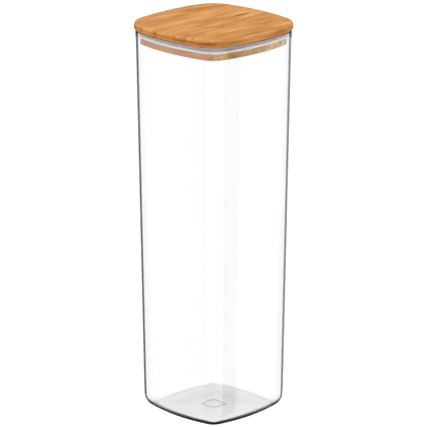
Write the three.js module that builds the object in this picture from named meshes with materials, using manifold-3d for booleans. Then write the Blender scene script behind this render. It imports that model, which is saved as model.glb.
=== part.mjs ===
// A tall square glass storage jar with a two-ply bamboo lid and a silicone seal.
// Millimetres, +Z up. The origin is the middle of the plane the jar stands on.
// Every horizontal outline is a "soft square": four bowed sides joined by four corner arcs.

import * as THREE from "three";
import { mergeVertices } from "three/addons/utils/BufferGeometryUtils.js";
import Module from "manifold-3d";

// ---- Driving dimensions -------------------------------------------------------------------

const TOTAL_HEIGHT = 300; // floor to the top of the lid
const BOW = 0.18; // how far a side bows out, as a share of the half width

const GLASS_RIM_HALF = 49; // half width of the glass at the rim, at the middle of a side
const GLASS_BASE_HALF = 44.7; // and at the base: the mould's draft makes it narrower
const GLASS_CORNER = 15.5; // corner radius of the glass at the rim
const WALL = 1.6;
const BASE = 1.4; // thickness of the glass under the contents
const HEEL_ROUND = 10.3; // outside radius between wall and base
const FOOT_WIDTH = 5; // flat ring the jar stands on
const PUSH_UP = 0.5; // how far the middle of the base is raised off the table
const PUSH_UP_SLOPE = 20; // width of the slope from the foot ring up to it
const MARK_HALF = 8; // plain raised ring moulded in the middle of the underside
const MARK_WIDTH = 1.4;
const MARK_HEIGHT = 0.15;

const CAP_HALF = 51; // the board on top of the lid
const CAP_CORNER = 23.4;
const CAP_THICKNESS = 6;
const CAP_TOP_ROUND = 2.4; // radius along the cap's upper edge
const CAP_UNDER_ROUND = 2; // radius along the cap's lower edge

const PLUG_DEPTH = 10.8; // how far the lid reaches into the jar
const PLUG_GAP = 2.6; // free play between the plug and the glass, all round
const PLUG_EDGE = 0.8; // chamfer on the plug's lower edge
const NECK_HEIGHT = 5.3; // the seal's groove, straight under the cap
const NECK_DEPTH = 2.4;

const STRIP_WIDTH = 18; // bamboo strips that both plies are glued up from
const CAP_STRIPS = 7; // they run front to back
const PLUG_STRIPS = 5; // they run left to right, across the cap's
const GLUE_LINE = 0.1; // joint between neighbouring strips, and between the two plies

const SEAL_BODY = 2.6; // radial thickness of the seal's body
const LIP_DROOP = 0.5; // the lip starts this far above the seal's lower edge
const LIP_THICKNESS = 0.6;

const RIM_CLEARANCE = 0.3; // between the glass rim and the cap that rests on it
const SEAL_CLEARANCE = 0.3; // between the seal and its groove
const LIP_CLEARANCE = 0.2; // between the seal's lip and the glass it wipes

const SEGMENTS = 128; // points round an outline; a multiple of 16 puts one on each side's middle

// ---- Derived levels -------------------------------------------------------------------------

const CAP_BOTTOM = TOTAL_HEIGHT - CAP_THICKNESS;
const RIM_TOP = CAP_BOTTOM - RIM_CLEARANCE;
const NECK_BOTTOM = CAP_BOTTOM - NECK_HEIGHT;
const PLUG_BOTTOM = CAP_BOTTOM - PLUG_DEPTH;

// ---- Materials ------------------------------------------------------------------------------

const glass = new THREE.MeshStandardMaterial({
  color: "#f2f5f5",
  roughness: 0.03,
  metalness: 0,
  transparent: true,
  opacity: 0.3,
});
const silicone = new THREE.MeshStandardMaterial({ color: "#e6e9ec", roughness: 0.45, metalness: 0 });
const capBamboo = new THREE.MeshStandardMaterial({ color: "#d6985a", roughness: 0.5, metalness: 0 });
const plugBamboo = new THREE.MeshStandardMaterial({ color: "#c39a6a", roughness: 0.6, metalness: 0 });

// ---- Outlines -------------------------------------------------------------------------------

// The arcs of a soft square. One arc makes the side that faces +X; it touches the corner arc,
// whose centre is on the diagonal, at the angle meet. The other quarters are turned copies.
function softSquare(half, corner) {
  const bow = BOW * half;
  const sideRadius = (half * half + bow * bow) / (2 * bow);
  const sideCentre = half - sideRadius;
  const between = sideRadius - corner; // distance between the centres of two arcs that touch
  const cornerCentre = (sideCentre + Math.sqrt(2 * between ** 2 - sideCentre ** 2)) / 2;
  const meet = Math.atan2(cornerCentre, cornerCentre - sideCentre);
  return { half, corner, sideRadius, sideCentre, cornerCentre, meet };
}

// The point and outward normal at a share (0 to 1) of the way round. Half of each quarter goes to
// its side and half to its corner, so that the tight corners get enough points.
function outlineAt({ corner, sideRadius, sideCentre, cornerCentre, meet }, share) {
  const quarter = Math.floor(share * 4);
  const along = 2 * (share * 4 - quarter);
  const onSide = along < 1;
  const angle = onSide ? meet * (2 * along - 1) : meet + (along - 1) * (Math.PI / 2 - 2 * meet);
  const normal = new THREE.Vector2(Math.cos(angle), Math.sin(angle));
  const centre = onSide ? at(sideCentre, 0) : at(cornerCentre, cornerCentre);
  const point = normal.clone().multiplyScalar(onSide ? sideRadius : corner).add(centre);
  const turn = (quarter * Math.PI) / 2;
  return { point: point.rotateAround(at(0, 0), turn), normal: normal.rotateAround(at(0, 0), turn) };
}

function at(x, y) {
  return new THREE.Vector2(x, y);
}

const capOutline = softSquare(CAP_HALF, CAP_CORNER);
const glassOutline = softSquare(GLASS_RIM_HALF, GLASS_CORNER);

// Half width of the glass at a height: straight draft from base to rim.
function glassHalfAt(z) {
  return THREE.MathUtils.lerp(GLASS_BASE_HALF, GLASS_RIM_HALF, z / RIM_TOP);
}

// Half width, where the plug is, of something that stands this far inside the glass.
function insideGlass(gap) {
  return glassHalfAt(PLUG_BOTTOM) - WALL - gap;
}

// ---- Solids from outlines -------------------------------------------------------------------

// A lathed solid whose circles are pushed out to a soft square. A profile point's x is the half
// width there. Points near the outline are set in along its normal, which keeps walls and lips
// equally thick all round; points far inside it shrink towards the axis instead.
function squareLathe(profile, outline, halfAt = () => outline.half) {
  const geometry = new THREE.LatheGeometry(profile, SEGMENTS);
  const position = geometry.attributes.position;
  const deepest = outline.corner * 0.8; // an inset close to the corner radius would pinch
  for (let i = 0; i < position.count; i++) {
    const column = Math.floor(i / profile.length) % SEGMENTS;
    const { x: half, y: z } = profile[i % profile.length];
    const { point, normal } = outlineAt(outline, column / SEGMENTS);
    const widest = halfAt(z);
    const inset = Math.min(widest - half, deepest);
    const place = point
      .multiplyScalar(widest / outline.half)
      .addScaledVector(normal, -inset)
      .multiplyScalar(half / (widest - inset));
    position.setXYZ(i, place.x, place.y, z);
  }
  return geometry;
}

// Points of an arc in a profile, from one angle to another, in degrees.
function arc(x, z, radius, from, to, steps) {
  return Array.from({ length: steps + 1 }, (_, i) => {
    const angle = THREE.MathUtils.degToRad(THREE.MathUtils.lerp(from, to, i / steps));
    return at(x + radius * Math.cos(angle), z + radius * Math.sin(angle));
  });
}

// ---- The jar --------------------------------------------------------------------------------

function jarGeometry() {
  const footOuter = GLASS_BASE_HALF - HEEL_ROUND;
  const footInner = footOuter - FOOT_WIDTH;
  const raised = footInner - PUSH_UP_SLOPE;
  const underside = [
    at(0, PUSH_UP),
    at(MARK_HALF - MARK_WIDTH, PUSH_UP),
    at(MARK_HALF - MARK_WIDTH * 0.8, PUSH_UP - MARK_HEIGHT),
    at(MARK_HALF - MARK_WIDTH * 0.2, PUSH_UP - MARK_HEIGHT),
    at(MARK_HALF, PUSH_UP),
    at(raised, PUSH_UP),
    at(footInner, 0),
  ];
  const rimRound = WALL / 2;
  const rimStart = RIM_TOP - rimRound;
  const rings = [0.25, 0.5, 0.75].map((share) => THREE.MathUtils.lerp(HEEL_ROUND, rimStart, share));
  const innerHeel = HEEL_ROUND - BASE;
  return squareLathe(
    [
      ...underside,
      ...arc(footOuter, HEEL_ROUND, HEEL_ROUND, -90, 0, 6),
      ...rings.map((z) => at(glassHalfAt(z), z)),
      ...arc(glassHalfAt(rimStart) - rimRound, rimStart, rimRound, 0, 180, 6),
      ...rings.map((z) => at(glassHalfAt(z) - WALL, z)).reverse(),
      ...arc(GLASS_BASE_HALF - WALL - innerHeel, HEEL_ROUND, innerHeel, 0, -90, 5),
      at(footInner, BASE),
      at(raised, BASE + PUSH_UP),
      at(0, BASE + PUSH_UP),
    ],
    glassOutline,
    glassHalfAt,
  );
}

// ---- The lid --------------------------------------------------------------------------------

function capGeometry() {
  const under = CAP_UNDER_ROUND;
  const top = CAP_TOP_ROUND;
  return squareLathe(
    [
      at(0, CAP_BOTTOM),
      ...arc(CAP_HALF - under, CAP_BOTTOM + under, under, -90, 0, 3),
      ...arc(CAP_HALF - top, TOTAL_HEIGHT - top, top, 0, 90, 5),
      at(0, TOTAL_HEIGHT),
    ],
    capOutline,
  );
}

function plugGeometry() {
  const edge = insideGlass(PLUG_GAP);
  const neck = edge - NECK_DEPTH;
  const top = CAP_BOTTOM - GLUE_LINE;
  return squareLathe(
    [
      at(0, PLUG_BOTTOM),
      at(edge - PLUG_EDGE, PLUG_BOTTOM),
      at(edge, PLUG_BOTTOM + PLUG_EDGE),
      at(edge, NECK_BOTTOM),
      at(neck, NECK_BOTTOM),
      at(neck, top),
      at(0, top),
    ],
    glassOutline,
  );
}

// The seal: a body that fills the groove, with one lip that stands out to the glass.
function sealGeometry() {
  const inner = insideGlass(PLUG_GAP) - NECK_DEPTH + SEAL_CLEARANCE;
  const outer = inner + SEAL_BODY;
  const tip = insideGlass(LIP_CLEARANCE);
  const bottom = NECK_BOTTOM + SEAL_CLEARANCE;
  const top = CAP_BOTTOM - SEAL_CLEARANCE;
  const lip = bottom + LIP_DROOP;
  return squareLathe(
    [
      at(inner, bottom),
      at(outer - 0.4, bottom),
      at(tip, lip),
      at(tip, lip + LIP_THICKNESS),
      at(outer, lip + LIP_THICKNESS + 0.1),
      at(outer, top - 0.4),
      at(outer - 0.4, top),
      at(inner, top),
      at(inner, bottom),
    ],
    glassOutline,
  );
}

// ---- Cutting a board into its glued strips --------------------------------------------------

const wasm = await Module();
wasm.setup();

// A closed geometry as a solid that can be cut.
function solidOf(geometry) {
  const bare = geometry.clone();
  bare.deleteAttribute("normal");
  bare.deleteAttribute("uv");
  const { attributes, index } = mergeVertices(bare, 1e-4);
  const vertProperties = new Float32Array(attributes.position.array);
  const triVerts = new Uint32Array(index.array);
  return new wasm.Manifold(new wasm.Mesh({ numProp: 3, vertProperties, triVerts }));
}

function geometryOf(solid) {
  const { vertProperties, triVerts } = solid.getMesh();
  const geometry = new THREE.BufferGeometry();
  geometry.setAttribute("position", new THREE.BufferAttribute(vertProperties, 3));
  geometry.setIndex(new THREE.BufferAttribute(triVerts, 1));
  geometry.computeVertexNormals();
  return geometry;
}

// A board's strips, side by side along the given axis. Their number is odd, so that one lies in
// the middle, and the two outermost take whatever the board has left beyond the last joints.
function stripsOf(board, axis, count) {
  const solid = solidOf(board);
  const beyond = 2 * CAP_HALF;
  return Array.from({ length: count }, (_, i) => {
    const middle = (i - (count - 1) / 2) * STRIP_WIDTH;
    const reach = (STRIP_WIDTH - GLUE_LINE) / 2;
    const low = i === 0 ? -beyond : middle - reach;
    const high = i === count - 1 ? beyond : middle + reach;
    const box = new THREE.BoxGeometry(high - low, 2 * beyond, TOTAL_HEIGHT);
    box.translate((low + high) / 2, 0, TOTAL_HEIGHT);
    if (axis === "y") {
      box.rotateZ(Math.PI / 2);
    }
    return geometryOf(solid.intersect(solidOf(box)));
  });
}

// ---- Assembly -------------------------------------------------------------------------------

function named(name, geometry, material) {
  const mesh = new THREE.Mesh(geometry, material);
  mesh.name = name;
  return mesh;
}

const lid = new THREE.Group();
lid.add(named("seal_ring", sealGeometry(), silicone));
stripsOf(capGeometry(), "x", CAP_STRIPS).forEach((strip, i) => {
  lid.add(named(`cap_strip_${i + 1}`, strip, capBamboo));
});
stripsOf(plugGeometry(), "y", PLUG_STRIPS).forEach((strip, i) => {
  lid.add(named(`plug_strip_${i + 1}`, strip, plugBamboo));
});

const container = new THREE.Group();
container.add(named("glass_jar", jarGeometry(), glass));
container.add(lid);

export default container;
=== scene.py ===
"""A tall square glass storage jar with a two-ply bamboo lid and a silicone seal.

Metres, +Z up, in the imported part's own frame. Every horizontal outline is a "soft square": four
bowed sides joined by four corner arcs. Shapes are lathed on a fine grid and pushed out to it.
"""

import math

import bmesh
import bpy
import numpy as np
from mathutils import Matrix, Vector


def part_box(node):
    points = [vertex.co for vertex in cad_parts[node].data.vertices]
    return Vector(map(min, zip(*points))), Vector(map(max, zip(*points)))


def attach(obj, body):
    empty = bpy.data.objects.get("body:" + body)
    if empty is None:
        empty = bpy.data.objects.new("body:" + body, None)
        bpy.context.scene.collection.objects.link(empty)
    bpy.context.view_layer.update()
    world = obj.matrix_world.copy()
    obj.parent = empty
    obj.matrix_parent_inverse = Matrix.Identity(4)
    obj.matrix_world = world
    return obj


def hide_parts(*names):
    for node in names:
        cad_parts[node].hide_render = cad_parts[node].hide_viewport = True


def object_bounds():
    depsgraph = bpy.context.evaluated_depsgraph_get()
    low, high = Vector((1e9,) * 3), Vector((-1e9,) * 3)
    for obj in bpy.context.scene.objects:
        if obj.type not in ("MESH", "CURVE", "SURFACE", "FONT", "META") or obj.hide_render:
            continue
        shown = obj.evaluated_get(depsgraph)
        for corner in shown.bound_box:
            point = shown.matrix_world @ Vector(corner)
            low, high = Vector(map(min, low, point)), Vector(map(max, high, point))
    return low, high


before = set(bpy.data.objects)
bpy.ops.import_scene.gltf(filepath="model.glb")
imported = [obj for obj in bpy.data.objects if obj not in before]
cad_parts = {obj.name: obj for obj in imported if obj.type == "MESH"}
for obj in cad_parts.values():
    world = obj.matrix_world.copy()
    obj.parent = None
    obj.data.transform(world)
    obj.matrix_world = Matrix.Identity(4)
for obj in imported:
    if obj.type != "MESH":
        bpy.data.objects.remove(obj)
cad_low, cad_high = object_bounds()

MM = 0.001

# ---- Sizes read from the frame ---------------------------------------------------------------

jar_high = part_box("glass_jar")[1]
seal_low, seal_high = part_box("seal_ring")
cap_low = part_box("cap_strip_4")[0]
plug_low, plug_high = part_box("plug_strip_3")

TOTAL = cad_high.z
RIM_HALF = jar_high.x
RIM_TOP = jar_high.z
CAP_HALF = cad_high.x
CAP_BOTTOM = cap_low.z
PLUG_HALF = plug_high.x
PLUG_BOTTOM = plug_low.z
PLUG_TOP = plug_high.z

# ---- Shape details that a box doesn't give ----------------------------------------------------

BOW = 0.18  # how far a side bows out, as a share of the half width
BASE_HALF = RIM_HALF * 0.9122  # the mould's draft
GLASS_CORNER = RIM_HALF * 0.3163
CAP_CORNER = CAP_HALF * 0.4588
WALL = 1.6 * MM
BASE = 1.4 * MM
HEEL_ROUND = 10.3 * MM
FOOT_WIDTH = 5 * MM
FOOT_HALF = BASE_HALF - HEEL_ROUND  # where the foot meets the table
PUSH_UP = 0.5 * MM
PUSH_UP_SLOPE = 20 * MM
MARK_HALF = 8 * MM
MARK_WIDTH = 1.4 * MM
MARK_HEIGHT = 0.12 * MM
CAP_TOP_ROUND = 2.4 * MM
CAP_UNDER_ROUND = 2 * MM
CAP_STRIPS = 7
PLUG_STRIPS = 5
STRIP_WIDTH = 18 * MM
GLUE_LINE = 0.1 * MM
NECK_DEPTH = 2.4 * MM
NECK_HEIGHT = 5.3 * MM
PLUG_EDGE = 0.8 * MM
SEAL_BODY = 2.6 * MM
SEAL_CLEARANCE = 0.3 * MM
SEAL_ROUND = 0.5 * MM
LIP_ROUND = 0.22 * MM  # half the lip's thickness at its tip
LIP_ROOT = 0.95 * MM  # where the lip leaves the body, above the seal's lower edge
LIP_DROOP = 1.6  # how sharply the lip curls down near its tip

COLUMNS = 320  # points round an outline
WALL_LEVELS = 40  # rings of points up a wall
SOFT_STEPS = 13  # points across a gentle rise
DEEPEST_INSET = 0.8  # of a corner's radius: how far in an outline's corners can follow


# ---- Outlines, lathed solids and pieces ---------------------------------------------------------


def soft_square(half, corner):
    """Points and outward normals round a soft square, starting where the side that faces +X begins."""
    bow = BOW * half
    side_radius = (half**2 + bow**2) / (2 * bow)
    side_centre = half - side_radius
    between = side_radius - corner
    corner_centre = (side_centre + math.sqrt(2 * between**2 - side_centre**2)) / 2
    meet = math.atan2(corner_centre, corner_centre - side_centre)
    share = np.arange(COLUMNS) / COLUMNS * 4
    quarter = np.floor(share)
    along = 2 * (share - quarter)
    on_side = along < 1
    angle = np.where(on_side, meet * (2 * along - 1), meet + (along - 1) * (math.pi / 2 - 2 * meet))
    normal = np.stack([np.cos(angle), np.sin(angle)], 1)
    centre = np.where(on_side[:, None], [side_centre, 0], [corner_centre, corner_centre])
    point = centre + normal * np.where(on_side, side_radius, corner)[:, None]
    turn = quarter * math.pi / 2
    cos, sin = np.cos(turn), np.sin(turn)

    def turned(v):
        return np.stack([v[:, 0] * cos - v[:, 1] * sin, v[:, 0] * sin + v[:, 1] * cos], 1)

    return turned(point), turned(normal)


def lathe_mesh(profile, outline_half, corner, half_at=None, closed=False):
    """A mesh from (half width, height) points. Points near the outline are set in along its
    normal, so that walls keep their thickness. Further in, that inset shrinks with the width, and
    the outline is scaled down towards the axis."""
    half_at = half_at or (lambda z: outline_half)
    point, normal = soft_square(outline_half, corner)
    deepest = corner * DEEPEST_INSET
    mesh = bmesh.new()
    rows = []
    for half, z in profile:
        if half == 0:
            rows.append([mesh.verts.new((0, 0, z))])
            continue
        widest = half_at(z)
        inset = min(widest - half, deepest * half / (widest - deepest))
        place = (point * (widest / outline_half) - normal * inset) * (half / (widest - inset))
        rows.append([mesh.verts.new((x, y, z)) for x, y in place])
    above = rows[1:] + rows[:1] if closed else rows[1:]
    for low, high in zip(rows, above):
        for i in range(COLUMNS):
            j = (i + 1) % COLUMNS
            if len(low) == 1:
                mesh.faces.new((low[0], high[j], high[i]))
            elif len(high) == 1:
                mesh.faces.new((low[i], low[j], high[0]))
            else:
                mesh.faces.new((low[i], low[j], high[j], high[i]))
    for face in mesh.faces:
        face.smooth = True
    return mesh


def placed(name, data):
    """A new object in the scene, with this mesh, lamp or camera."""
    made = bpy.data.objects.new(name, data)
    bpy.context.scene.collection.objects.link(made)
    return made


def mesh_data(name, mesh, material):
    """A bmesh turned into an object's mesh, of one material."""
    data = bpy.data.meshes.new(name)
    mesh.to_mesh(data)
    mesh.free()
    data.materials.append(material)
    return data


def finished(name, mesh, material, body, node):
    """The mesh as a named piece that stands for one CAD node and rides on its body."""
    piece = placed(name, mesh_data(name, mesh, material))
    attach(piece, body)
    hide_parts(node)


def arc(x, z, radius, start, end, steps):
    """Profile points along an arc, between two angles in degrees."""
    angles = np.radians(np.linspace(start, end, steps + 1))
    return [(x + radius * math.cos(a), z + radius * math.sin(a)) for a in angles]


# ---- The jar ----------------------------------------------------------------------------------


def glass_half_at(z):
    return BASE_HALF + (RIM_HALF - BASE_HALF) * z / RIM_TOP


def jar_mesh():
    foot_inner = FOOT_HALF - FOOT_WIDTH
    inner_heel = HEEL_ROUND - BASE
    rim_round = WALL / 2
    rim_start = RIM_TOP - rim_round
    levels = np.linspace(HEEL_ROUND, rim_start, WALL_LEVELS + 2)[1:-1]
    ring_middle = MARK_HALF - MARK_WIDTH / 2
    mark = [
        (ring_middle + MARK_WIDTH / 2 * x, PUSH_UP - MARK_HEIGHT * (1 + math.cos(math.pi * x)) / 2)
        for x in np.linspace(-1, 1, SOFT_STEPS)
    ]
    rise = [
        (foot_inner - PUSH_UP_SLOPE * s, PUSH_UP * (1 - math.cos(math.pi * s)) / 2)
        for s in np.linspace(0, 1, SOFT_STEPS)
    ]
    profile = [
        (0, PUSH_UP),
        *mark,
        *rise[::-1],
        *arc(FOOT_HALF, HEEL_ROUND, HEEL_ROUND, -90, 0, 28),
        *[(glass_half_at(z), z) for z in levels],
        *arc(glass_half_at(rim_start) - rim_round, rim_start, rim_round, 0, 180, 14),
        *[(glass_half_at(z) - WALL, z) for z in levels[::-1]],
        *arc(BASE_HALF - WALL - inner_heel, HEEL_ROUND, inner_heel, 0, -90, 24),
        *[(half, BASE + z) for half, z in rise],
        (0, BASE + PUSH_UP),
    ]
    return lathe_mesh(profile, RIM_HALF, GLASS_CORNER, glass_half_at)


# ---- The lid ----------------------------------------------------------------------------------


def cap_mesh():
    under, top = CAP_UNDER_ROUND, CAP_TOP_ROUND
    profile = [
        (0, CAP_BOTTOM),
        *arc(CAP_HALF - under, CAP_BOTTOM + under, under, -90, 0, 10),
        *arc(CAP_HALF - top, TOTAL - top, top, 0, 90, 22),
        (0, TOTAL),
    ]
    return lathe_mesh(profile, CAP_HALF, CAP_CORNER)


def plug_mesh():
    """The lower ply, with the groove that the seal sits in."""
    neck = PLUG_HALF - NECK_DEPTH
    neck_bottom = CAP_BOTTOM - NECK_HEIGHT
    edge, fine = PLUG_EDGE, PLUG_EDGE / 2
    profile = [
        (0, PLUG_BOTTOM),
        *arc(PLUG_HALF - edge, PLUG_BOTTOM + edge, edge, -90, 0, 8),
        *arc(PLUG_HALF - fine, neck_bottom - fine, fine, 0, 90, 6),
        (neck, neck_bottom),
        (neck, PLUG_TOP),
        (0, PLUG_TOP),
    ]
    return lathe_mesh(profile, RIM_HALF, GLASS_CORNER)


def seal_mesh():
    """A rounded body that fills the groove, and one thin lip that droops out to the glass."""
    inner = PLUG_HALF - NECK_DEPTH + SEAL_CLEARANCE
    outer = inner + SEAL_BODY
    bottom, top = seal_low.z, seal_high.z
    tip = seal_high.x - LIP_ROUND
    root = bottom + LIP_ROOT
    fall = LIP_ROOT - 2 * LIP_ROUND
    profile = [
        *arc(inner + SEAL_ROUND, bottom + SEAL_ROUND, SEAL_ROUND, 180, 270, 5),
        (outer - SEAL_ROUND, bottom),
        *arc(tip, bottom + LIP_ROUND, LIP_ROUND, -100, 70, 8),
        *[
            (tip + (outer - tip) * s, root - fall * (1 - s) ** LIP_DROOP)
            for s in np.linspace(0.15, 0.95, 7)
        ],
        (outer, root + LIP_ROUND),
        *arc(outer - SEAL_ROUND, top - SEAL_ROUND, SEAL_ROUND, 0, 90, 6),
        *arc(inner + SEAL_ROUND, top - SEAL_ROUND, SEAL_ROUND, 90, 180, 5),
    ]
    return lathe_mesh(profile, RIM_HALF, GLASS_CORNER, closed=True)


def clip(mesh, place, facing):
    """Cut off what lies beyond a plane, and close the cut with one flat face."""
    everything = mesh.verts[:] + mesh.edges[:] + mesh.faces[:]
    bmesh.ops.bisect_plane(mesh, geom=everything, plane_co=place, plane_no=facing, clear_outer=True)
    rim = [edge for edge in mesh.edges if edge.is_boundary]
    for face in bmesh.ops.holes_fill(mesh, edges=rim)["faces"]:
        face.smooth = False


def flatten_flats(mesh):
    """Join the wedges of the flat top and bottom into one face each, with crisp shading."""
    limit = math.radians(0.05)
    bmesh.ops.dissolve_limit(mesh, angle_limit=limit, verts=mesh.verts, edges=mesh.edges)
    for face in mesh.faces:
        if abs(face.normal.z) > 0.9999:
            face.smooth = False


def strip_meshes(make_board, axis, count):
    """A board's glued strips, side by side along an axis, as the frame has them."""
    reach = (STRIP_WIDTH - GLUE_LINE) / 2
    for i in range(count):
        mesh = make_board()
        middle = (i - (count - 1) / 2) * STRIP_WIDTH
        if i > 0:
            clip(mesh, axis * (middle - reach), -axis)
        if i < count - 1:
            clip(mesh, axis * (middle + reach), axis)
        flatten_flats(mesh)
        yield mesh


# ---- Node and colour helpers ----------------------------------------------------------------------

WHITE = (1, 1, 1, 1)


def new_material(name):
    material = bpy.data.materials.new(name)
    material.use_nodes = True
    material.node_tree.nodes.clear()
    return material, material.node_tree


def set_inputs(tree, made, inputs):
    """Give a node's inputs plain values, or links from other nodes' outputs."""
    for key, value in inputs.items():
        if isinstance(value, bpy.types.NodeSocket):
            tree.links.new(value, made.inputs[key])
        else:
            made.inputs[key].default_value = value


def node(tree, kind, inputs=None, **settings):
    """A shader node, with its settings and its inputs."""
    made = tree.nodes.new("ShaderNode" + kind)
    for key, value in settings.items():
        setattr(made, key, value)
    set_inputs(tree, made, inputs or {})
    return made


def maths(tree, operation, *values, clamp=False):
    """A sum on one to three values."""
    inputs = dict(enumerate(values))
    return node(tree, "Math", inputs, operation=operation, use_clamp=clamp).outputs[0]


def remap(tree, value, low, high, to_low=0.0, to_high=1.0):
    """A smooth step from to_low at low, to to_high at high."""
    inputs = {"Value": value, "From Min": low, "From Max": high, "To Min": to_low, "To Max": to_high}
    return node(tree, "MapRange", inputs, interpolation_type="SMOOTHSTEP").outputs[0]


def blend(tree, share, one, other, mode="MIX"):
    """A mix of two colours; share is how much of the other."""
    made = node(tree, "Mix", data_type="RGBA", blend_type=mode, clamp_factor=True)
    set_inputs(tree, made, {0: share, 6: one, 7: other})  # 6 and 7 are its colour inputs
    return made.outputs[2]


def noise(tree, place, size, seed, detail=2.0, roughness=0.5):
    """Noise whose blobs are about size (x, y, z) metres big."""
    scale = tuple(1 / v for v in size)
    moves = {"Vector": place, "Location": (seed, -1.7 * seed, 0.6 * seed), "Scale": scale}
    moved = node(tree, "Mapping", moves).outputs[0]
    inputs = {"Vector": moved, "Scale": 1.0, "Detail": detail, "Roughness": roughness}
    return node(tree, "TexNoise", inputs).outputs["Fac"]


def mixed(tree, share, one, other):
    """A mix of two shader nodes; share is how much of the other."""
    return node(tree, "MixShader", {0: share, 1: one.outputs[0], 2: other.outputs[0]}).outputs[0]


def linear(red, green, blue):
    """An sRGB colour, 0 to 255, as the linear colour that a shader takes."""
    def one(value):
        v = value / 255
        return v / 12.92 if v <= 0.04045 else ((v + 0.055) / 1.055) ** 2.4
    return (one(red), one(green), one(blue), 1.0)


def tinted(colour, red, green, blue):
    """A linear colour with its three channels scaled, and kept under full white."""
    return tuple(min(c * f, 0.95) for c, f in zip(colour, (red, green, blue))) + (1.0,)


def tint_from(one, other):
    """The tint that turns one linear colour into another when the two are multiplied."""
    return tuple(b / a for a, b in zip(one, other))[:3] + (1.0,)


# ---- Glass -----------------------------------------------------------------------------------------


def glass_material():
    """Clear moulded glass: walls that wave by hundredths of a millimetre, and a few faint smears."""
    material, tree = new_material("clear_glass")
    place = node(tree, "TexCoord").outputs["Object"]
    waves = noise(tree, place, (26 * MM, 26 * MM, 70 * MM), seed=2.3, detail=1)
    smears = noise(tree, place, (14 * MM, 14 * MM, 30 * MM), seed=6.1, detail=3)
    bump = node(tree, "Bump", {"Strength": 0.25, "Distance": 0.3 * MM, "Height": waves})
    body = node(tree, "BsdfPrincipled", {
        "Base Color": (0.995, 0.998, 0.997, 1),
        "Roughness": remap(tree, smears, 0.55, 0.8, 0.0, 0.02),
        "IOR": 1.5,
        "Transmission Weight": 1.0,
        "Normal": bump.outputs[0],
    })
    clear = node(tree, "BsdfTransparent")  # glass casts no shadow
    shadow_ray = node(tree, "LightPath").outputs["Is Shadow Ray"]
    node(tree, "OutputMaterial", {0: mixed(tree, shadow_ray, body, clear)})
    return material


# ---- Silicone --------------------------------------------------------------------------------------

SILICONE_DARK = linear(168, 168, 175)
SILICONE_LIGHT = linear(180, 178, 182)
# painted light: the lip is painted near white, far lighter than the body of the same rubber
LIP_PAINTED_LIGHT = linear(255, 254, 252)
LIP_PAINTED_GLOW = 0.16  # painted light: the lip glows though it is no lamp, standing for the light that so thin a lip scatters
LINT = linear(176, 168, 156)


def silicone_material():
    """Milky, faintly translucent rubber with a matt moulded skin and a little lint. Its lip carries
    painted light: it is painted near white, and it glows.
    """
    material, tree = new_material("silicone")
    place = node(tree, "TexCoord").outputs["Object"]
    cloud = noise(tree, place, (9 * MM, 9 * MM, 4 * MM), seed=3.1)
    grit = noise(tree, place, (0.35 * MM, 0.35 * MM, 0.35 * MM), seed=8.3, detail=3)
    specks = noise(tree, place, (1.1 * MM, 1.1 * MM, 0.3 * MM), seed=5.7)
    lint = remap(tree, specks, 0.66, 0.74, 0.0, 0.25)
    height = node(tree, "SeparateXYZ", {0: place}).outputs["Z"]  # the lip is what lies below its root
    lip = remap(tree, height, seal_low.z + 1.15 * LIP_ROOT, seal_low.z + 0.9 * LIP_ROOT)
    colour = blend(tree, cloud, SILICONE_DARK, SILICONE_LIGHT)
    # painted light on the lip: near white here, and a glow below
    colour = blend(tree, lip, colour, LIP_PAINTED_LIGHT)
    colour = blend(tree, lint, colour, LINT)
    bump = node(tree, "Bump", {"Strength": 0.35, "Distance": 0.05 * MM, "Height": grit})
    body = node(tree, "BsdfPrincipled", {
        "Base Color": colour,
        "Roughness": remap(tree, grit, 0.3, 0.7, 0.38, 0.55),
        "Subsurface Weight": 0.35,
        "Subsurface Scale": 1.2 * MM,
        "Subsurface Radius": (1.0, 1.0, 1.1),
        "IOR": 1.41,
        "Emission Color": LIP_PAINTED_LIGHT,
        "Emission Strength": maths(tree, "MULTIPLY", lip, LIP_PAINTED_GLOW),
        "Normal": bump.outputs[0],
    })
    node(tree, "OutputMaterial", {0: body.outputs[0]})
    return material


# ---- Bamboo ----------------------------------------------------------------------------------------

SWAY = 5 * MM  # how far the fibres wander sideways
PATCH_WEIGHT = 1.8  # how much the broad patches, the streaks and the fibres each change the tone
STREAK_WEIGHT = 0.95
FIBRE_WEIGHT = 0.45
DARK_TINT = (0.80, 0.70, 0.56)
LIGHT_TINT = (1.22, 1.36, 1.55)
SCAR = linear(150, 88, 36)
SCAR_REACH = (1.6 * MM, 10 * MM)  # half a leaf scar's width, and half its length

CAP_FACE = linear(212, 149, 86)
# painted shade: the cap's upright edges are a darker copy of its face's tone
CAP_SIDE_SHADED = tinted(CAP_FACE, 0.90, 0.84, 0.64)
CAP_END = tinted(CAP_FACE, 0.88, 0.67, 0.43)
DARK_ENDS = {5: (0.84, 0.81, 0.73), 6: (0.9, 0.77, 0.52)}  # two strips' cut ends are darker
CAP_SCARS = {
    4: [(0.02 * CAP_HALF, 0.57 * CAP_HALF, 0.9), (0.10 * CAP_HALF, -0.06 * CAP_HALF, 0.35)],
    7: [(0.93 * CAP_HALF, -0.08 * CAP_HALF, 0.6)],
}
PLUG_FACE = linear(205, 156, 104)
PLUG_SIDE = linear(206, 143, 95)
PLUG_ENDS = [
    linear(215, 171, 104),
    linear(192, 140, 87),
    linear(207, 155, 60),
    linear(223, 170, 125),
    linear(225, 186, 140),
]


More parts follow.
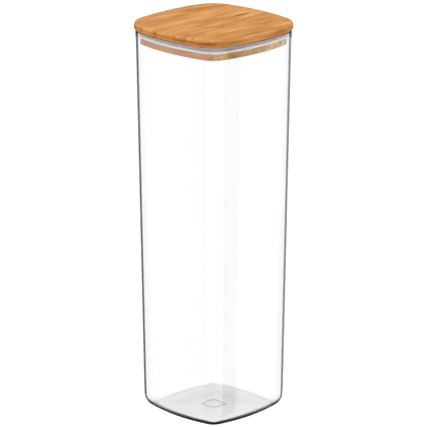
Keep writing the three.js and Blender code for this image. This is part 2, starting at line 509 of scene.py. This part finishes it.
def swayed(tree, place, grain, seed):
    """The place, pushed a little sideways, so that the fibres along the grain axis wander."""
    sway = noise(tree, place, (32 * MM, 32 * MM, 32 * MM), seed, detail=1)
    shift = maths(tree, "MULTIPLY_ADD", sway, SWAY, -SWAY / 2)
    across = (0, 1, 0) if grain == 0 else (1, 0, 0)
    push = node(tree, "VectorMath", {0: across, "Scale": shift}, operation="SCALE")
    return node(tree, "VectorMath", {0: place, 1: push.outputs[0]}, operation="ADD").outputs[0]


def with_scars(tree, colour, place, fibres, grain, scars):
    """Leaf scars: short dark streaks along the grain, broken up by the fibres."""
    parts = node(tree, "SeparateXYZ", {0: place}).outputs
    for x, y, strength in scars:
        dx = maths(tree, "DIVIDE", maths(tree, "SUBTRACT", parts[0], x), SCAR_REACH[1 - grain])
        dy = maths(tree, "DIVIDE", maths(tree, "SUBTRACT", parts[1], y), SCAR_REACH[grain])
        far = maths(tree, "ADD", maths(tree, "MULTIPLY", dx, dx), maths(tree, "MULTIPLY", dy, dy))
        broken = maths(tree, "ADD", far, maths(tree, "MULTIPLY_ADD", fibres, 4.0, -2.0))
        colour = blend(tree, remap(tree, broken, 0.1, 1.3, strength, 0.0), colour, SCAR)
    return colour


def with_edges(tree, colour, facing, streaks, grain, side_shade_tint, end_tint, dark, light):
    """Painted shade: upright faces are tinted towards the side tone, and faces that turn down are
    darkened.
    Cut ends take a further tint, for the end grain. The rounded upper edge has a painted highlight."""
    up = maths(tree, "ABSOLUTE", facing[2])
    upright = remap(tree, up, 0.35, 0.05)
    # painted shade on upright faces
    colour = blend(tree, upright, colour, side_shade_tint, "MULTIPLY")
    endways = remap(tree, maths(tree, "ABSOLUTE", facing[grain]), 0.6, 0.78)
    colour = blend(tree, maths(tree, "MULTIPLY", endways, upright), colour, end_tint, "MULTIPLY")
    # painted highlight along the rounded upper edge
    ridge = maths(tree, "MULTIPLY", remap(tree, up, 0.1, 0.4), remap(tree, up, 0.995, 0.93))
    painted_highlight = maths(tree, "MULTIPLY", ridge, remap(tree, streaks, 0.4, 0.65, 0.1, 0.6))
    colour = blend(tree, painted_highlight, colour, light)
    # painted shade: faces that turn down grow darker
    return blend(tree, remap(tree, facing[2], -0.05, -0.5, 0.0, 0.6), colour, dark)


def bamboo_material(name, grain, seed, face, side, end, scars=()):
    """Carbonised bamboo, oiled. grain is the axis (0 or 1) that the fibres run along. The pattern is
    solid, so a strip's ends show the cut fibres as dots. face, side and end are the middle tones of
    the flat faces, the edges along the grain and the cut ends. On the cap, side is a darker copy of
    face: painted shade. scars are (x, y, strength)."""
    material, tree = new_material(name)
    coordinates = node(tree, "TexCoord").outputs
    place = swayed(tree, coordinates["Object"], grain, seed + 40)

    def along(width, length):
        return (length, width, width) if grain == 0 else (width, length, width)

    patches = noise(tree, place, along(8 * MM, 34 * MM), seed)
    streaks = noise(tree, place, along(2.8 * MM, 30 * MM), seed + 11, detail=3, roughness=0.6)
    fibres = noise(tree, place, along(0.42 * MM, 11 * MM), seed + 23, roughness=0.6)
    pores = remap(tree, noise(tree, place, along(0.5 * MM, 6 * MM), seed + 31, detail=1), 0.60, 0.72)

    tone = 0.5 + 0.05 * math.sin(2.4 * seed)  # each strip has its own middle tone
    for pattern, weight in ((patches, PATCH_WEIGHT), (streaks, STREAK_WEIGHT), (fibres, FIBRE_WEIGHT)):
        tone = maths(tree, "MULTIPLY_ADD", maths(tree, "SUBTRACT", pattern, 0.5), weight, tone)
    ramp = node(tree, "ValToRGB", {"Fac": tone})
    dark, light = tinted(face, *DARK_TINT), tinted(face, *LIGHT_TINT)
    stops = ramp.color_ramp.elements
    stops[0].position, stops[0].color = 0.12, dark
    stops[1].position, stops[1].color = 0.86, light
    stops.new(0.5).color = face
    colour = blend(tree, maths(tree, "MULTIPLY", pores, 0.35), ramp.outputs[0], dark)
    colour = with_scars(tree, colour, place, fibres, grain, scars)
    facing = node(tree, "SeparateXYZ", {0: coordinates["Normal"]}).outputs
    tints = tint_from(face, side), tint_from(side, end)
    colour = with_edges(tree, colour, facing, streaks, grain, *tints, dark, light)

    height = maths(tree, "SUBTRACT", fibres, maths(tree, "MULTIPLY", pores, 0.6))
    bump = node(tree, "Bump", {"Strength": 0.5, "Distance": 0.06 * MM, "Height": height})
    body = node(tree, "BsdfPrincipled", {
        "Base Color": colour,
        "Roughness": remap(tree, fibres, 0.3, 0.7, 0.62, 0.46),
        "Specular IOR Level": 0.15,
        "Normal": bump.outputs[0],
    })
    node(tree, "OutputMaterial", {0: body.outputs[0]})
    return material


# ---- The pieces ------------------------------------------------------------------------------------


finished("jar_glass", jar_mesh(), glass_material(), "jar", "glass_jar")
finished("seal", seal_mesh(), silicone_material(), "lid", "seal_ring")
for number, mesh in enumerate(strip_meshes(cap_mesh, Vector((1, 0, 0)), CAP_STRIPS), start=1):
    scars = CAP_SCARS.get(number, ())
    end = tinted(CAP_END, *DARK_ENDS.get(number, (1, 1, 1)))
    bamboo = bamboo_material(f"cap_bamboo_{number}", 1, 7.3 * number, CAP_FACE, CAP_SIDE_SHADED, end, scars)
    finished(f"cap_board_{number}", mesh, bamboo, "lid", f"cap_strip_{number}")
for number, mesh in enumerate(strip_meshes(plug_mesh, Vector((0, 1, 0)), PLUG_STRIPS), start=1):
    end = PLUG_ENDS[number - 1]
    bamboo = bamboo_material(f"plug_bamboo_{number}", 0, 60 + 5.9 * number, PLUG_FACE, PLUG_SIDE, end)
    finished(f"plug_board_{number}", mesh, bamboo, "lid", f"plug_strip_{number}")


# ---- The camera --------------------------------------------------------------------------------

VIEW_TURN = math.radians(45)
VIEW_RISE = math.radians(16.98)  # the camera's place above the horizon, seen from the jar's middle
VIEW_PITCH = math.radians(16.876)  # how far down it looks
VIEW_DISTANCE = TOTAL * 8.746
VIEW_CENTRE = TOTAL * 0.4899
LENS = 295.47  # millimetres, as is the sensor
SENSOR = 36
SHIFT = -0.0002  # of the picture's width
SIGHT = 100  # metres, past the floor's far edge


def add_camera():
    data = bpy.data.cameras.new("camera")
    data.sensor_width = SENSOR
    data.lens = LENS
    data.shift_x = SHIFT
    data.clip_end = SIGHT
    camera = placed("camera", data)
    flat = VIEW_DISTANCE * math.cos(VIEW_RISE)
    camera.location = (
        flat * math.sin(VIEW_TURN),
        -flat * math.cos(VIEW_TURN),
        VIEW_CENTRE + VIEW_DISTANCE * math.sin(VIEW_RISE),
    )
    camera.rotation_euler = (math.pi / 2 - VIEW_PITCH, 0, VIEW_TURN)
    bpy.context.scene.camera = camera


# ---- The studio as glass sees it -----------------------------------------------------------------

# Edges are in degrees off the view axis: where a change of level begins and ends.
BACKDROP_EDGE = (14, 21)  # the end of the white backdrop behind the object
SIDE_FILL_EDGE = (36, 50)  # the start of the light from the sides
TOP_FILL_EDGE = (64, 86)  # the start of the light from above and below
BACKDROP_LEVEL = 1.04
FILL_LEVEL = 0.7
DARK_LEFT, DARK_RIGHT = 0.08, 0.22  # the gap's level to either side; above and below it is black

# Turns are in degrees round the upright axis, from the view axis.
BRIGHT_TURN = (58, 72)  # to either side: the fill grows brighter
BRIGHT = 1.7
GREY_TURN = (106, 112)  # to the left: it turns a little grey
GREY = 0.7
FLAG_TURN = (98, 101, 112, 116)  # to the right: a narrow black flag fades in, and out again


def in_camera_space(tree, vector):
    spaces = {"convert_from": "WORLD", "convert_to": "CAMERA"}
    return node(tree, "VectorTransform", {0: vector}, vector_type="VECTOR", **spaces).outputs[0]


def level_over(tree, ahead, edge, inside, outside):
    """One level near the view axis and another further out. ahead is the angle's cosine."""
    near, far = (math.cos(math.radians(angle)) for angle in edge)
    return remap(tree, ahead, far, near, outside, inside)


def fill_tone(tree, right, ahead):
    """How the fill light changes round the object, as a factor."""
    turn = maths(tree, "DEGREES", maths(tree, "ARCTAN2", right, ahead))
    flag_start = remap(tree, turn, *FLAG_TURN[:2])
    flag_end = remap(tree, turn, *FLAG_TURN[2:], 1.0, 0.0)
    flag = maths(tree, "MULTIPLY", flag_start, flag_end)
    grey = remap(tree, maths(tree, "MULTIPLY", turn, -1.0), *GREY_TURN, 1.0, GREY)
    bright = remap(tree, maths(tree, "ABSOLUTE", turn), *BRIGHT_TURN, 1.0, BRIGHT)
    return maths(tree, "MULTIPLY", maths(tree, "SUBTRACT", grey, flag, clamp=True), bright)


def bright_field(tree, direction):
    """How bright the studio is in a world direction, as glass sees it: a white backdrop straight
    behind the object, a dark gap round it, and soft white light further out."""
    seen = in_camera_space(tree, direction)
    unit = node(tree, "VectorMath", {0: seen}, operation="NORMALIZE").outputs[0]
    parts = node(tree, "SeparateXYZ", {0: unit}).outputs
    right, ahead = parts["X"], parts["Z"]
    off_axis = maths(tree, "SUBTRACT", 1.0, maths(tree, "MULTIPLY", ahead, ahead))
    side = maths(tree, "DIVIDE", right, maths(tree, "SQRT", maths(tree, "MAXIMUM", off_axis, 1e-6)))
    level = maths(tree, "POWER", maths(tree, "ABSOLUTE", side), 4.0)  # 1 to the sides, 0 above

    backdrop = level_over(tree, ahead, BACKDROP_EDGE, BACKDROP_LEVEL, 0.0)
    top_fill = level_over(tree, ahead, TOP_FILL_EDGE, 0.0, FILL_LEVEL)
    side_fill = level_over(tree, ahead, SIDE_FILL_EDGE, 0.0, FILL_LEVEL)
    fill = maths(tree, "MULTIPLY_ADD", maths(tree, "SUBTRACT", side_fill, top_fill), level, top_fill)
    fill = maths(tree, "MULTIPLY", fill, fill_tone(tree, right, ahead))

    middle, lean = (DARK_LEFT + DARK_RIGHT) / 2, (DARK_RIGHT - DARK_LEFT) / 2
    gap = maths(tree, "MULTIPLY", level, maths(tree, "MULTIPLY_ADD", side, lean, middle))
    return maths(tree, "MAXIMUM", maths(tree, "MAXIMUM", backdrop, fill), gap)


def is_bent(tree, path):
    """1 for rays that glass has bent or mirrored, else 0."""
    bent, mirrored = path["Is Transmission Ray"], path["Is Glossy Ray"]
    return maths(tree, "ADD", bent, mirrored, clamp=True)


# ---- Floor, contact shadow, world and lamps --------------------------------------------------------

FLOOR_LEVEL = -0.2 * MM  # a hair under the foot: glass and floor must not share a plane
FLOOR_HALF = 20  # metres, as are the lamps' places and sizes
FLOOR_COLOUR = (0.3, 0.3, 0.3, 1)
FLOOR_SEEN = 0.95  # how bright the floor glows to the camera
FLOOR_LIGHT = 0.82  # and to the wood and the silicone
WORLD_LIGHT = 0.4  # how bright the studio is to them
CONTACT_LEVEL = -0.1 * MM
CONTACT_OUTER, CONTACT_INNER = -5 * MM, 0.3 * MM  # the contact shadow's reach, in from the foot
CONTACT_RINGS = 9
CONTACT_FRONT = (-0.25 * FOOT_HALF, -0.95 * FOOT_HALF)  # depths from the axis over which it darkens
CONTACT_BEHIND = 0.15  # how dark it is further back
LAMPS = (  # name, place, size, watts
    ("overhead", (0, 0, 1.6), 1.2, 13),
    ("left", (-1.3, -1.2, 0.9), 0.8, 5),
)


def add_floor():
    """A plain white floor, mostly its own glow. Rays that glass has bent see the studio instead."""
    material, tree = new_material("floor")
    incoming = node(tree, "NewGeometry").outputs["Incoming"]
    onward = node(tree, "VectorMath", {0: incoming, "Scale": -1.0}, operation="SCALE").outputs[0]
    glow = node(tree, "Emission", {"Strength": bright_field(tree, onward)})
    path = node(tree, "LightPath").outputs
    matt = node(tree, "BsdfDiffuse", {"Color": FLOOR_COLOUR})
    extra = FLOOR_SEEN - FLOOR_LIGHT
    strength = maths(tree, "MULTIPLY_ADD", path["Is Camera Ray"], extra, FLOOR_LIGHT)
    pale = node(tree, "Emission", {"Strength": strength})
    both = node(tree, "AddShader", {0: matt.outputs[0], 1: pale.outputs[0]})
    node(tree, "OutputMaterial", {0: mixed(tree, is_bent(tree, path), both, glow)})

    mesh = bmesh.new()
    corners = [(x * FLOOR_HALF, y * FLOOR_HALF) for x, y in ((-1, -1), (1, -1), (1, 1), (-1, 1))]
    mesh.faces.new([mesh.verts.new((x, y, FLOOR_LEVEL)) for x, y in corners])
    placed("floor", mesh_data("floor", mesh, material))


def contact_material():
    """Black, as strongly as the mesh's shade says, on the camera's side and to bent rays only."""
    material, tree = new_material("contact_shadow")
    place = node(tree, "NewGeometry").outputs["Position"]
    depth = node(tree, "SeparateXYZ", {0: in_camera_space(tree, place)}).outputs["Z"]
    front = remap(tree, depth, *CONTACT_FRONT, CONTACT_BEHIND, 1.0)
    shade = node(tree, "Attribute", attribute_name="shade").outputs["Fac"]
    dark = maths(tree, "MULTIPLY", shade, front)
    share = maths(tree, "MULTIPLY", dark, is_bent(tree, node(tree, "LightPath").outputs))
    clear = node(tree, "BsdfTransparent")
    black = node(tree, "Emission", {"Strength": 0.0})
    node(tree, "OutputMaterial", {0: mixed(tree, share, clear, black)})
    return material


def add_contact_shadow():
    """The dark line where the foot meets the floor, as light bent through the heel sees it: the
    backdrop's light does not reach under there."""
    corner = GLASS_CORNER * BASE_HALF / RIM_HALF
    point, normal = soft_square(BASE_HALF, corner)
    mesh = bmesh.new()
    shade = mesh.verts.layers.float.new("shade")
    rows = []
    for share in np.linspace(0, 1, CONTACT_RINGS):
        inset = HEEL_ROUND + CONTACT_OUTER + (CONTACT_INNER - CONTACT_OUTER) * share
        row = [mesh.verts.new((x, y, CONTACT_LEVEL)) for x, y in point - normal * inset]
        for vert in row:
            vert[shade] = min(1, 2 * math.sin(math.pi * share))
        rows.append(row)
    for outer, inner in zip(rows, rows[1:]):
        for i in range(COLUMNS):
            j = (i + 1) % COLUMNS
            mesh.faces.new((outer[i], outer[j], inner[j], inner[i]))
    placed("contact_shadow", mesh_data("contact_shadow", mesh, contact_material()))


def add_world():
    """White to the camera, dimmer to the wood and the silicone, and a bright field to bent rays."""
    world = bpy.data.worlds.new("studio")
    bpy.context.scene.world = world
    world.use_nodes = True
    tree = world.node_tree
    tree.nodes.clear()
    direction = node(tree, "TexCoord").outputs["Generated"]
    glow = node(tree, "Background", {"Color": WHITE, "Strength": bright_field(tree, direction)})
    path = node(tree, "LightPath").outputs
    strength = maths(tree, "MULTIPLY_ADD", path["Is Diffuse Ray"], WORLD_LIGHT - 1, 1.0)
    plain = node(tree, "Background", {"Color": WHITE, "Strength": strength})
    node(tree, "OutputWorld", {0: mixed(tree, is_bent(tree, path), plain, glow)})


def add_lamp(name, place, size, watts):
    """A square lamp that lights the lid, and that neither the camera nor the glass sees."""
    data = bpy.data.lights.new(name, "AREA")
    data.shape = "RECTANGLE"
    data.size = data.size_y = size
    data.energy = watts
    lamp = placed(name, data)
    lamp.location = place
    lamp.rotation_euler = (Vector((0, 0, TOTAL)) - Vector(place)).to_track_quat("-Z", "Y").to_euler()
    lamp.visible_camera = False
    lamp.visible_glossy = False
    lamp.visible_transmission = False


add_camera()
add_floor()
add_contact_shadow()
add_world()
for lamp in LAMPS:
    add_lamp(*lamp)
bpy.context.scene.view_settings.view_transform = "Standard"
